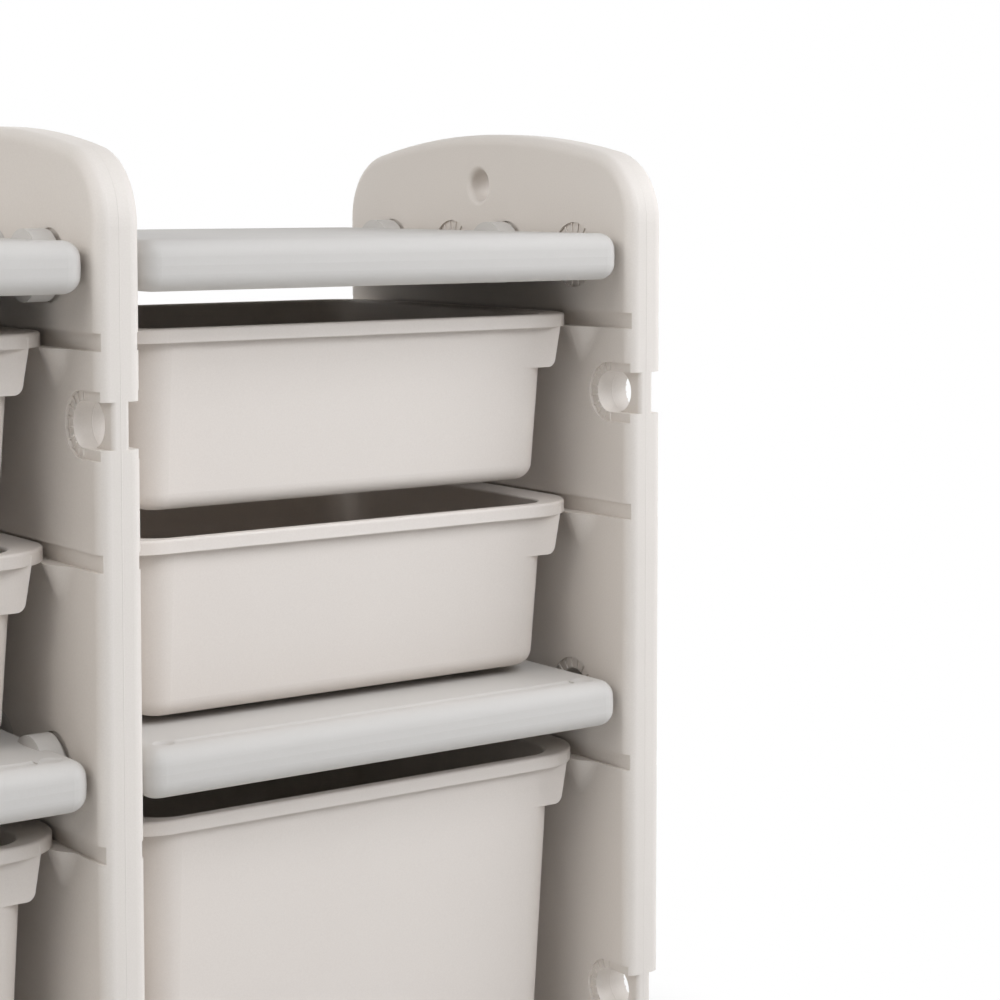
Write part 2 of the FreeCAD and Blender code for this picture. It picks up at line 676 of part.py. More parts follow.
def draw_ear(doc, sketch):
    """Outline of the ear: slanted outer edge, round lower corner, top inside the rim."""
    top = value_of(doc, "sizes.rim_height - sizes.rim_flange")
    low = -value_of(doc, "sizes.ear_height")
    inner = value_of(doc, EAR_ROOT)
    outer = value_of(doc, EAR_TIP)
    bend = value_of(doc, "sizes.ear_corner_radius")
    lean = math.radians(value_of(doc, "sizes.ear_lean"))
    flat_end = outer + (low + bend) * math.tan(lean) - bend / math.cos(lean)
    centre = FreeCAD.Vector(flat_end, low + bend, 0)
    touch = centre + FreeCAD.Vector(math.cos(lean), -math.sin(lean), 0) * bend
    shoulder = FreeCAD.Vector(outer, 0, 0)
    points = [FreeCAD.Vector(inner, low, 0), FreeCAD.Vector(flat_end, low, 0)]
    sketch.addGeometry(Part.LineSegment(points[0], points[1]))
    arc = Part.ArcOfCircle(Part.Circle(centre, FreeCAD.Vector(0, 0, 1), bend), -math.pi / 2, -lean)
    sketch.addGeometry(arc)
    sketch.addGeometry(Part.LineSegment(touch, shoulder))
    sketch.addGeometry(Part.LineSegment(shoulder, FreeCAD.Vector(outer, top, 0)))
    sketch.addGeometry(Part.LineSegment(FreeCAD.Vector(outer, top, 0), FreeCAD.Vector(inner, top, 0)))
    sketch.addGeometry(Part.LineSegment(FreeCAD.Vector(inner, top, 0), points[0]))
    sketch.addConstraint(Sketcher.Constraint("Tangent", 0, 2, 1, 1))
    sketch.addConstraint(Sketcher.Constraint("Tangent", 1, 2, 2, 1))
    for line, following in ((2, 3), (3, 4), (4, 5), (5, 0)):
        sketch.addConstraint(Sketcher.Constraint("Coincident", line, 2, following, 1))
    for line in (0, 4):
        sketch.addConstraint(Sketcher.Constraint("Horizontal", line))
    for line in (3, 5):
        sketch.addConstraint(Sketcher.Constraint("Vertical", line))
    dimensions = {
        "inner": (Sketcher.Constraint("DistanceX", -1, 1, 0, 1, inner), EAR_ROOT),
        "outer": (Sketcher.Constraint("DistanceX", -1, 1, 2, 2, outer), EAR_TIP),
        "drop": (Sketcher.Constraint("DistanceY", 0, 1, -1, 1, -low), "sizes.ear_height"),
        "rise": (Sketcher.Constraint("DistanceY", -1, 1, 3, 2, top), "sizes.rim_height - sizes.rim_flange"),
        "bend": (Sketcher.Constraint("Radius", 1, bend), "sizes.ear_corner_radius"),
        "lean": (Sketcher.Constraint("Angle", 2, math.pi / 2 - lean), "90 - sizes.ear_lean"),
    }
    for name, (constraint, expression) in dimensions.items():
        name_constraint(sketch, sketch.addConstraint(constraint), name, expression)
    sketch.addConstraint(Sketcher.Constraint("PointOnObject", 2, 2, -1))
    return sketch


def make_bin(doc, size):
    """One bin: drafted tub, turned-down rim and a pull ear at its right front corner; rim foot at z = 0."""
    height = BIN_HEIGHTS[size]
    draft = f"sizes.{size}_bin_draft"
    drop = f"({height} - sizes.rim_height)"
    body = doc.addObject("PartDesign::Body", f"{size}_bin")

    plan = add_sketch(body, f"{size}_wall_plan", "XY_Plane", "0")
    draw_rounded_rectangle(doc, plan, "wall", WALL_WIDTH, WALL_DEPTH, "sizes.bin_corner_radius")
    pad(body, f"{size}_tub", plan, drop, reverse=True, draft=f"-{draft}")

    rim_plan = add_sketch(body, f"{size}_rim_plan", "XY_Plane", "0")
    draw_rounded_rectangle(doc, rim_plan, "rim", RIM_WIDTH, RIM_DEPTH, "sizes.rim_corner_radius")
    pad(body, f"{size}_rim", rim_plan, "sizes.rim_height")

    lip_plan = add_sketch(body, f"{size}_lip_plan", "XY_Plane", "0")
    draw_rounded_rectangle(doc, lip_plan, "lip", f"{RIM_WIDTH} - 2 * sizes.rim_lip",
                           f"{RIM_DEPTH} - 2 * sizes.rim_lip", "sizes.rim_corner_radius - sizes.rim_lip")
    draw_rounded_rectangle(doc, lip_plan, "tub", WALL_WIDTH, WALL_DEPTH, "sizes.bin_corner_radius")
    pocket(body, f"{size}_lip", lip_plan, "sizes.rim_height - sizes.rim_flange", reverse=True)

    ear_plan = add_sketch(body, f"{size}_ear_plan", "XZ_Plane", f"{WALL_DEPTH} / 2")
    ear_plan.AttachmentOffset = FreeCAD.Placement(
        ear_plan.AttachmentOffset.Base, FreeCAD.Rotation(FreeCAD.Vector(1, 0, 0), value_of(doc, draft)))
    pad(body, f"{size}_ear", draw_ear(doc, ear_plan), "sizes.ear_thickness", reverse=True)

    inside = add_sketch(body, f"{size}_inside_plan", "XY_Plane", "sizes.rim_height")
    draw_rounded_rectangle(doc, inside, "inside", f"{WALL_WIDTH} - 2 * sizes.bin_wall",
                           f"{WALL_DEPTH} - 2 * sizes.bin_wall", "sizes.bin_corner_radius - sizes.bin_wall")
    hollow = pocket(body, f"{size}_hollow", inside, f"{height} - sizes.bin_wall", draft=f"-{draft}")
    floor = soften(doc, body, f"{size}_floor", hollow, [f"sizes.bin_wall - {drop}"],
                   "sizes.bin_foot_radius - sizes.bin_wall")
    foot = soften(doc, body, f"{size}_foot", floor, [f"-{drop}"], "sizes.bin_foot_radius")
    soften(doc, body, f"{size}_rim_rounded", foot, ["sizes.rim_height"], "sizes.rim_rounding")
    return body


# The whole cabinet

def build_nodes(doc):
    """Make every separate piece of the cabinet, each under its own name."""
    nodes = []
    panel = make_panel(doc)
    for name, side in PANELS.items():
        nodes.append(copy_of(doc, f"panel_{name}", panel, x=f"{side} * {PANEL_PITCH}"))

    shelf = make_shelf(doc)
    for level, height in LEVELS.items():
        for column, side in COLUMNS.items():
            turn = end_for_end() if column == "left" else None
            nodes.append(copy_of(doc, f"shelf_{level}_{column}", shelf, f"{side} * {PANEL_PITCH} / 2", "0",
                                 height, turn))

    bolt = make_bolt(doc)
    for name in PANELS:
        nodes.append(fasteners(doc, f"shelf_bolts_{name}_panel", bolt, name, bolt_spots(name)))
    cap = make_cap(doc)
    for name in SPARE_SOCKETS:
        nodes.append(fasteners(doc, f"socket_caps_{name}_panel", cap, name, cap_spots(name)))

    rim_middle = "(sizes.bin_front_setback - sizes.bin_rear_setback) / 2"
    places = {"upper": ("small", rim_middle), "lower": ("small", rim_middle),
              "large": ("large", f"{rim_middle} - sizes.large_bin_forward")}
    bins = {size: make_bin(doc, size) for size in BIN_HEIGHTS}
    for row, (size, y) in places.items():
        for column, side in COLUMNS.items():
            nodes.append(copy_of(doc, f"bin_{row}_{column}", bins[size], f"{side} * {PANEL_PITCH} / 2", y,
                                 RIM_LEVELS[row]))
    return nodes


def check(doc, nodes):
    """Stop if any object failed or any piece is not a valid solid."""
    for thing in doc.Objects:
        if {"Invalid", "Error"} & set(thing.State):
            raise RuntimeError(f"{thing.Name} failed: {thing.State}")
    for node in nodes:
        if node.Shape.isNull() or not node.Shape.isValid() or not node.Shape.Solids:
            raise RuntimeError(f"{node.Label} is not a valid solid")


def main():
    """Build the cabinet and write one file for each piece."""
    doc = FreeCAD.newDocument("toy_storage_cabinet")
    make_sheet(doc)
    nodes = build_nodes(doc)
    doc.recompute()
    check(doc, nodes)
    os.makedirs("parts", exist_ok=True)
    for node in nodes:
        node.Shape.exportStep(os.path.join("parts", f"{node.Label}.step"))
        print(f"{node.Label}: {len(node.Shape.Solids)} solids, {node.Shape.Volume / 1000:.1f} cm3")


main()
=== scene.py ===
"""Toy storage cabinet: finishes, small moulded details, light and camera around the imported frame."""

import logging
import math
from dataclasses import dataclass, field
from enum import Enum
from typing import Any, Mapping, Optional, Sequence, Union

import bpy
from mathutils import Matrix, Vector


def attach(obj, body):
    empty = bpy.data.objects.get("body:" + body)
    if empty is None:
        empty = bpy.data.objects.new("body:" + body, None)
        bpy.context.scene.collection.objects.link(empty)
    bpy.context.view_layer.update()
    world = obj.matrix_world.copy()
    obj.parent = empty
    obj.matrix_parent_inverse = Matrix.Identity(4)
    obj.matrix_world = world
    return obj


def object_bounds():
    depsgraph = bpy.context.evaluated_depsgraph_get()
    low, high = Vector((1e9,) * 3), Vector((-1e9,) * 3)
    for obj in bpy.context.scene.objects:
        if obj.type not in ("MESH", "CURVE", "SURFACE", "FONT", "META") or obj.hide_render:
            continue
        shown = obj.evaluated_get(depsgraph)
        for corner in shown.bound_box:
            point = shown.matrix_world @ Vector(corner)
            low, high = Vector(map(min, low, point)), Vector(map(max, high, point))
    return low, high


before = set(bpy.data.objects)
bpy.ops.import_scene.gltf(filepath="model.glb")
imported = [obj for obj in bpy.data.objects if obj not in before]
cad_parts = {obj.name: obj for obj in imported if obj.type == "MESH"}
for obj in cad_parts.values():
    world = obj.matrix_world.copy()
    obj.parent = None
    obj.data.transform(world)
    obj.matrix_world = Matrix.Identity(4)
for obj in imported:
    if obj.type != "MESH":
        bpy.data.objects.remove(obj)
CAD_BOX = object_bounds()

log = logging.getLogger("cabinet")

Colour = tuple[float, float, float]
Point = tuple[float, float, float]

MILLIMETRE = 0.001
FULL_TURN = 360.0
HALF_TURN = 180.0

# Distance between the middle planes of two neighbouring panels, in metres.
PANEL_PITCH = 0.406

WHITE: Colour = (1.0, 1.0, 1.0)
COOL_WHITE: Colour = (0.97, 1.0, 1.05)

# The sRGB curve: a straight foot up to the knee, a power above it.
SRGB_TOP = 255
SRGB_KNEE = 0.04045
SRGB_FOOT = 12.92
SRGB_OFFSET = 0.055
SRGB_POWER = 2.4

# Mean of a noise texture.
NOISE_MEAN = 0.5

# Sockets of a Mix node that blends colours.
MIX_SHARE, MIX_FIRST, MIX_SECOND, MIX_RESULT = 0, 6, 7, 2

# A face looks along an axis where its normal's part along that axis is larger than this.
LOOKS_ALONG = 0.5

# Profile of a bevel that is part of a circle.
ROUND_PROFILE = 0.5


class Side(Enum):
    """The two broad faces of an upright panel, as the sign of their normal along X."""

    LEFT = -1
    RIGHT = 1


class Panel(Enum):
    """The three upright panels, as steps of the panel pitch from the middle."""

    LEFT = -1
    MIDDLE = 0
    RIGHT = 1


def srgb(red: int, green: int, blue: int) -> Colour:
    """Turn a screen colour into the linear colour that a shader takes.

    Args:
        red: Red from 0 to 255.
        green: Green from 0 to 255.
        blue: Blue from 0 to 255.

    Returns:
        The linear colour.
    """
    def linear(value: int) -> float:
        """One channel, by the sRGB curve."""
        share = value / SRGB_TOP
        if share <= SRGB_KNEE:
            return share / SRGB_FOOT
        return ((share + SRGB_OFFSET) / (1 + SRGB_OFFSET)) ** SRGB_POWER

    return linear(red), linear(green), linear(blue)


def with_alpha(colour: Colour) -> tuple[float, float, float, float]:
    """A colour with full alpha, as colour sockets take it."""
    return (*colour, 1.0)


class Wire:
    """An output socket of a shader that can stand in an expression."""

    def __init__(self, plan: "ShaderPlan", socket: Optional[bpy.types.NodeSocket]) -> None:
        """Keep the socket and the shader that it belongs to.

        Args:
            plan: The shader.
            socket: An output socket in it, or nothing for a node that ends the shader.
        """
        self.plan = plan
        self.socket = socket

    def _maths(self, operation: str, first: "Value", second: "Value") -> "Wire":
        """Add a Math node for one operation on two values."""
        return self.plan.node("ShaderNodeMath", {"operation": operation}, {0: first, 1: second})

    def __add__(self, other: "Value") -> "Wire":
        """Sum."""
        return self._maths("ADD", self, other)

    def __radd__(self, other: "Value") -> "Wire":
        """Sum with the number first."""
        return self._maths("ADD", other, self)

    def __sub__(self, other: "Value") -> "Wire":
        """Difference."""
        return self._maths("SUBTRACT", self, other)

    def __rsub__(self, other: "Value") -> "Wire":
        """Difference with the number first."""
        return self._maths("SUBTRACT", other, self)

    def __mul__(self, other: "Value") -> "Wire":
        """Product."""
        return self._maths("MULTIPLY", self, other)

    def __rmul__(self, other: "Value") -> "Wire":
        """Product with the number first."""
        return self._maths("MULTIPLY", other, self)


Value = Union[Wire, float]


class ShaderPlan:
    """The node tree of one material or of the world."""

    def __init__(self, tree: bpy.types.NodeTree) -> None:
        """Empty the tree, so that only what is asked for is in it.

        Args:
            tree: The node tree to fill.
        """
        self.tree = tree
        tree.nodes.clear()

    def node(self, kind: str, settings: Optional[Mapping[str, Any]] = None,
             inputs: Optional[Mapping[Any, Any]] = None, output: Any = 0) -> Wire:
        """Add a node.

        Args:
            kind: The node's type.
            settings: Its properties, which are set first.
            inputs: Values or wires of its sockets, by name or number.
            output: Name or number of the socket that is returned.

        Returns:
            The output socket.
        """
        made = self.tree.nodes.new(kind)
        for key, value in (settings or {}).items():
            setattr(made, key, value)
        for key, value in (inputs or {}).items():
            if isinstance(value, Wire):
                self.tree.links.new(value.socket, made.inputs[key])
            else:
                made.inputs[key].default_value = value
        return Wire(self, made.outputs[output] if made.outputs else None)

    def noise(self, place: Wire, scale: float, detail: float = 2.0, roughness: float = 0.5) -> Wire:
        """A noise from 0 to 1.

        Args:
            place: Where the noise is read.
            scale: Patches per metre.
            detail: Finer octaves on top.
            roughness: How strong the finer octaves are.

        Returns:
            The noise.
        """
        return self.node("ShaderNodeTexNoise", None, {"Vector": place, "Scale": scale, "Detail": detail,
                                                      "Roughness": roughness})

    def stretched(self, place: Wire, stretch: Point) -> Wire:
        """Scale coordinates along the three axes.

        Args:
            place: Coordinates.
            stretch: Factor along each axis.

        Returns:
            The scaled coordinates.
        """
        return self.node("ShaderNodeMapping", None, {"Vector": place, "Scale": stretch})

    def fade(self, value: Wire, start: float, end: float) -> Wire:
        """A smooth step.

        Args:
            value: What is compared.
            start: Where the step is still 0.
            end: Where it is 1.

        Returns:
            The step.
        """
        return self.node("ShaderNodeMapRange", {"interpolation_type": "SMOOTHSTEP"},
                         {"Value": value, "From Min": start, "From Max": end})

    def tint(self, share: Wire, first: Colour, second: Colour) -> Wire:
        """Blend two colours.

        Args:
            share: Share of the second one.
            first: One colour.
            second: The other.

        Returns:
            The blend.
        """
        return self.node("ShaderNodeMix", {"data_type": "RGBA"},
                         {MIX_SHARE: share, MIX_FIRST: with_alpha(first), MIX_SECOND: with_alpha(second)},
                         MIX_RESULT)


@dataclass(frozen=True)
class MouldedPlastic:
    """A pale moulded plastic with a fine grain, seen on one kind of piece.

    Lengths are in metres, and a scale is in patches per metre.

    Attributes:
        name: Name of the material.
        slot: The record's slot of the pieces that have this finish.
        tone: Main colour.
        shade: Slightly darker colour that the main one drifts to.
        roughness: Mean roughness.
        specular_level: Strength of the reflections.
        gloss_play: Range that the roughness drifts over.
        cloud_scale: Scale of the colour's drift.
        cloud_stretch: Factors along the axes that draw the drift out.
        speckle_scale: Scale of the fine specks.
        speckle_share: How strongly the specks shift the colour.
        grain_scale: Scale of the moulded grain.
        grain_depth: Depth of the grain.
        wave_scale: Scale of the slow waves in the surface.
        wave_depth: Depth of the waves.
        seam_pitch: Distance between the planes in which the mould's seam runs, or 0 for no seam.
        seam_half_width: Half the width of the seam's ridge.
        seam_height: Height of the ridge.
        seam_draft: Slope that falls away from the seam on both sides, in degrees.
        cloud_share: How strongly the drift shifts the colour.
        cloud_detail: Octaves of the drift.
        speckle_detail: Octaves of the specks.
        speckle_roughness: Strength of the specks' finer octaves.
        grain_detail: Octaves of the grain.
        grain_roughness: Strength of the grain's finer octaves.
        wave_detail: Octaves of the waves.
        gloss_ratio: Scale of the roughness's drift, in scales of the waves.
        gloss_detail: Octaves of the roughness's drift.
        refraction: Index of refraction.
    """

    name: str
    slot: str
    tone: Colour
    shade: Colour
    roughness: float
    specular_level: float
    gloss_play: float
    cloud_scale: float
    cloud_stretch: Point
    speckle_scale: float
    speckle_share: float
    grain_scale: float
    grain_depth: float
    wave_scale: float
    wave_depth: float
    seam_pitch: float = 0.0
    seam_half_width: float = 0.35 * MILLIMETRE
    seam_height: float = 0.12 * MILLIMETRE
    seam_draft: float = 1.6
    cloud_share: float = 0.6
    cloud_detail: float = 3.0
    speckle_detail: float = 1.0
    speckle_roughness: float = 0.6
    grain_detail: float = 2.0
    grain_roughness: float = 0.65
    wave_detail: float = 1.0
    gloss_ratio: float = 2.5
    gloss_detail: float = 3.0
    refraction: float = 1.47

    def colour(self, plan: ShaderPlan, place: Wire) -> Wire:
        """Colour that drifts a little over the piece, with fine specks in it.

        Args:
            plan: The shader.
            place: Object coordinates.

        Returns:
            The colour.
        """
        cloud = plan.noise(plan.stretched(place, self.cloud_stretch), self.cloud_scale, self.cloud_detail)
        speckle = plan.noise(place, self.speckle_scale, self.speckle_detail, self.speckle_roughness)
        drift = cloud * self.cloud_share + NOISE_MEAN * (1 - self.cloud_share)
        return plan.tint(drift + (speckle - NOISE_MEAN) * self.speckle_share, self.tone, self.shade)

    def height(self, plan: ShaderPlan, place: Wire) -> Wire:
        """Relief of the surface in metres: grain, slow waves and, where there is one, the mould's seam.

        Args:
            plan: The shader.
            place: Object coordinates.

        Returns:
            The height.
        """
        grain = plan.noise(place, self.grain_scale, self.grain_detail, self.grain_roughness)
        waves = plan.noise(place, self.wave_scale, self.wave_detail)
        relief = grain * self.grain_depth + waves * self.wave_depth
        if not self.seam_pitch:
            return relief
        across = plan.node("ShaderNodeSeparateXYZ", None, {0: place}, "X")
        offset = plan.node("ShaderNodeMath", {"operation": "PINGPONG"}, {0: across, 1: self.seam_pitch / 2})
        ridge = 1 - plan.fade(offset, self.seam_half_width / 2, self.seam_half_width)
        return relief + ridge * self.seam_height - offset * math.tan(math.radians(self.seam_draft))

    def material(self) -> bpy.types.Material:
        """Make the material.

        Returns:
            The material.
        """
        made = bpy.data.materials.new(self.name)
        made.use_nodes = True
        plan = ShaderPlan(made.node_tree)
        place = plan.node("ShaderNodeTexCoord", output="Object")
        gloss = plan.noise(place, self.wave_scale * self.gloss_ratio, self.gloss_detail)
        # The height is in metres already, so the bump takes it as it is.
        bump = plan.node("ShaderNodeBump", None, {"Height": self.height(plan, place), "Distance": 1.0,
                                                  "Strength": 1.0})
        surface = plan.node("ShaderNodeBsdfPrincipled", None, {
            "Base Color": self.colour(plan, place),
            "Roughness": gloss * self.gloss_play + (self.roughness - self.gloss_play * NOISE_MEAN),
            "Normal": bump,
            "IOR": self.refraction,
            "Specular IOR Level": self.specular_level,
        })
        plan.node("ShaderNodeOutputMaterial", None, {"Surface": surface})
        return made


PANEL_PLASTIC = MouldedPlastic(
    name="panel_plastic_warm_white", slot="panel_plastic",
    tone=srgb(231, 224, 216), shade=srgb(224, 216, 208),
    roughness=0.56, specular_level=0.4, gloss_play=0.12,
    cloud_scale=5.0, cloud_stretch=(1.0, 1.0, 0.6), speckle_scale=900.0, speckle_share=1.1,
    grain_scale=1500.0, grain_depth=0.05 * MILLIMETRE, wave_scale=11.0, wave_depth=0.5 * MILLIMETRE,
    seam_pitch=PANEL_PITCH)
SHELF_PLASTIC = MouldedPlastic(
    name="shelf_plastic_cool_grey", slot="shelf_plastic",
    tone=srgb(211, 207, 202), shade=srgb(204, 200, 195),
    roughness=0.62, specular_level=0.2, gloss_play=0.10,
    cloud_scale=6.0, cloud_stretch=(0.5, 1.0, 1.0), speckle_scale=1100.0, speckle_share=0.6,
    grain_scale=1800.0, grain_depth=0.02 * MILLIMETRE, wave_scale=14.0, wave_depth=0.3 * MILLIMETRE)
BIN_PLASTIC = MouldedPlastic(
    name="bin_plastic_warm_grey", slot="bin_plastic",
    tone=srgb(232, 224, 216), shade=srgb(225, 216, 208),
    roughness=0.56, specular_level=0.4, gloss_play=0.12,
    cloud_scale=5.0, cloud_stretch=(1.0, 1.0, 0.5), speckle_scale=950.0, speckle_share=1.0,
    grain_scale=1500.0, grain_depth=0.04 * MILLIMETRE, wave_scale=8.0, wave_depth=0.4 * MILLIMETRE)
BOLT_PLASTIC = MouldedPlastic(
    name="bolt_plastic_cool_grey", slot="bolt_plastic",
    tone=srgb(211, 207, 202), shade=srgb(204, 200, 195),
    roughness=0.50, specular_level=0.35, gloss_play=0.10,
    cloud_scale=30.0, cloud_stretch=(1.0, 1.0, 1.0), speckle_scale=1200.0, speckle_share=0.6,
    grain_scale=2000.0, grain_depth=0.015 * MILLIMETRE, wave_scale=40.0, wave_depth=0.06 * MILLIMETRE)
CAP_PLASTIC = MouldedPlastic(
    name="cap_plastic_warm_white", slot="cap_plastic",
    tone=srgb(225, 218, 211), shade=srgb(218, 211, 204),
    roughness=0.50, specular_level=0.35, gloss_play=0.10,
    cloud_scale=30.0, cloud_stretch=(1.0, 1.0, 1.0), speckle_scale=1100.0, speckle_share=0.8,
    grain_scale=1800.0, grain_depth=0.02 * MILLIMETRE, wave_scale=40.0, wave_depth=0.06 * MILLIMETRE)


def dress(piece: bpy.types.Object, material: bpy.types.Material) -> None:
    """Give every slot of a piece one material.

    Args:
        piece: The piece.
        material: Its material.
    """
    if not piece.material_slots:
        piece.data.materials.append(material)
    for slot in piece.material_slots:
        slot.material = material


@dataclass
class MouldedPieces:
    """Pieces of one kind whose CAD shape stays as it is and takes a finish.

    Attributes:
        title: What the pieces are called in the log.
        prefixes: What the names of their CAD nodes begin with.
        finish: Their finish.
    """

    title: str
    prefixes: tuple[str, ...]
    finish: MouldedPlastic

    def nodes(self) -> list[str]:
        """Names of the CAD nodes of this kind."""
        return sorted(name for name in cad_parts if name.startswith(self.prefixes))

    def dress(self) -> bpy.types.Material:
        """Dress every node of this kind.

        Returns:
            The material, for details that belong to the same moulding.
        """
        material = self.finish.material()
        for name in self.nodes():
            dress(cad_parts[name], material)
            log.info("%s: %s takes %s", self.title, name, material.name)
        return material


@dataclass(frozen=True)
class Ring:
    """A round recess in a panel's face.

    Attributes:
        panel: The panel.
        side: The face that the recess is in.
        back: Its centre's place along Y, in metres.
        up: Its centre's height, in metres.
    """

    panel: Panel
    side: Side
    back: float
    up: float


@dataclass
class RingRibs:
    """Short ribs that stand like spokes in the round recesses of the panels' faces.

    Lengths are in metres and angles in degrees.

    Attributes:
        title: Start of the pieces' names.
        rings: The recesses.
        inner_radius: Where a rib begins.
        outer_radius: The recess's own radius.
        ring_depth: How far the recess's floor lies below the panel's face.
        count: Ribs in a whole turn.
        first_turn: Turn of the first rib from straight back.
        open_turn: Turn to both sides of straight ahead that is kept free of ribs.
        panel_thickness: Thickness of a panel.
        width: Width of a rib.
        rise: Height of a rib above the recess's floor.
        sunk: How far a rib reaches into the panel at its foot and at its outer end.
        rounding: Radius of its upper edges.
        rounding_steps: Faces across that rounding.
        crease_angle: Edges sharper than this stay sharp.
    """

    title: str
    rings: Sequence[Ring]
    inner_radius: float
    outer_radius: float
    ring_depth: float
    count: int
    first_turn: float
    open_turn: float
    panel_thickness: float = 0.030
    width: float = 1.2 * MILLIMETRE
    rise: float = 1.1 * MILLIMETRE
    sunk: float = 0.25 * MILLIMETRE
    rounding: float = 0.35 * MILLIMETRE
    rounding_steps: int = 3
    crease_angle: float = 35.0

    def master(self) -> bpy.types.Object:
        """Model one rib that points along +Y from the ring's centre, the recess's floor in the plane X = 0.

        Returns:
            The rib.
        """
        bpy.ops.object.select_all(action="DESELECT")
        length = self.outer_radius - self.inner_radius + self.sunk
        bpy.ops.mesh.primitive_cube_add(size=1.0, location=(0.0, 0.0, 0.0))
        rib = bpy.context.object
        rib.name = f"{self.title}_master"
        rib.scale = (self.rise + self.sunk, length, self.width)
        rib.location = ((self.rise - self.sunk) / 2, self.inner_radius + length / 2, 0.0)
        bpy.ops.object.transform_apply(location=True, rotation=True, scale=True)
        bpy.ops.object.mode_set(mode="EDIT")
        bpy.ops.mesh.select_mode(type="FACE")
        bpy.ops.mesh.select_all(action="DESELECT")
        bpy.ops.object.mode_set(mode="OBJECT")
        for face in rib.data.polygons:
            face.select = face.normal.x > LOOKS_ALONG
        bpy.ops.object.mode_set(mode="EDIT")
        bpy.ops.mesh.bevel(offset=self.rounding, segments=self.rounding_steps, profile=ROUND_PROFILE,
                           affect="EDGES")
        bpy.ops.object.mode_set(mode="OBJECT")
        bpy.ops.object.shade_smooth_by_angle(angle=math.radians(self.crease_angle))
        return rib

    def turns(self) -> list[float]:
        """Turns of the ribs about the ring's axis, from straight back, that keep clear of the open front.

        Returns:
            Angles in radians.
        """
        all_turns = [self.first_turn + index * FULL_TURN / self.count for index in range(self.count)]
        from_front = [abs(turn % FULL_TURN - HALF_TURN) for turn in all_turns]
        return [math.radians(turn) for turn, gap in zip(all_turns, from_front) if gap >= self.open_turn]

    def copy(self, master: bpy.types.Object, ring: Ring, turn: float) -> bpy.types.Object:
        """Set one copy of the rib in a ring.

        Args:
            master: The rib.
            ring: Where it goes.
            turn: Its turn about the ring's axis, in radians.

        Returns:
            The copy, with a mesh of its own.
        """
        rib = master.copy()
        rib.data = master.data.copy()
        bpy.context.scene.collection.objects.link(rib)
        floor = ring.side.value * (self.panel_thickness / 2 - self.ring_depth)
        centre = Vector((ring.panel.value * PANEL_PITCH + floor, ring.back, ring.up))
        facing = Matrix.Rotation(math.pi, 4, "Y") if ring.side is Side.LEFT else Matrix.Identity(4)
        rib.matrix_world = Matrix.Translation(centre) @ facing @ Matrix.Rotation(turn, 4, "X")
        return rib

    def build(self, material: bpy.types.Material, slot: str) -> None:
        """Copy the rib into every ring, one piece for each panel.

        Args:
            material: The panels' material.
            slot: The record's slot of the panels' finish; not used.
        """
        master = self.master()
        for panel in Panel:
            rings = [ring for ring in self.rings if ring.panel is panel]
            if not rings:
                continue
            copies = [self.copy(master, ring, turn) for ring in rings for turn in self.turns()]
            bpy.ops.object.select_all(action="DESELECT")
            for copy in copies:
                copy.select_set(True)
            bpy.context.view_layer.objects.active = copies[0]
            bpy.ops.object.join()
            piece = bpy.context.object
            bpy.ops.object.transform_apply(location=True, rotation=True, scale=True)
            piece.name = f"{self.title}_{panel.name.lower()}"
            dress(piece, material)
            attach(piece, "frame")
            log.info("%s: %d ribs in %d rings", piece.name, len(copies), len(rings))
        bpy.data.objects.remove(master)


@dataclass
class UprightPanels(MouldedPieces):
    """The three arched panels, with ribs in the hook holes' rings and in the rings of the free sockets.

    Attributes:
        hook_back: Place of the hook holes along Y, in metres.
        hook_levels: Heights of the hook holes.
        socket_levels: Heights of the rows of sockets.
        free_sockets: Places along Y of the sockets that hold no shelf, in each end panel.
        inner_faces: The face of each end panel that looks at the shelves.
    """

    hook_back: float = -0.156
    hook_levels: tuple[float, float] = (0.616, 0.190)
    socket_levels: tuple[float, float, float] = (0.711, 0.399, 0.087)
    free_sockets: Mapping[Panel, tuple[float, float]] = field(default_factory=lambda: {
        Panel.RIGHT: (0.035, -0.116), Panel.LEFT: (0.116, -0.035)})
    inner_faces: Mapping[Panel, Side] = field(default_factory=lambda: {
        Panel.RIGHT: Side.LEFT, Panel.LEFT: Side.RIGHT})

    def hook_ribs(self) -> RingRibs:
        """Ribs round the notched holes at the front edge, on both faces of every panel.

        Returns:
            The ribs.
        """
        rings = [Ring(panel, side, self.hook_back, up)
                 for panel in Panel for side in Side for up in self.hook_levels]
        return RingRibs("hook_ring_ribs", rings,
                        inner_radius=14.75 * MILLIMETRE, outer_radius=20.8 * MILLIMETRE,
                        ring_depth=2.4 * MILLIMETRE, count=18, first_turn=10.0, open_turn=78.0)

    def socket_ribs(self) -> RingRibs:
        """Ribs round the sockets that hold no shelf, on the inner faces of the end panels.

        Returns:
            The ribs.
        """
        rings = [Ring(panel, self.inner_faces[panel], back, up)
                 for panel, places in self.free_sockets.items()
                 for back in places for up in self.socket_levels]
        return RingRibs("socket_ring_ribs", rings,
                        inner_radius=15.3 * MILLIMETRE, outer_radius=23.0 * MILLIMETRE,
                        ring_depth=2.0 * MILLIMETRE, count=18, first_turn=0.0, open_turn=0.0)

    def build(self) -> None:
        """Dress the panels and add their ribs."""
        material = self.dress()
        for ribs in (self.hook_ribs(), self.socket_ribs()):
            ribs.build(material, self.finish.slot)


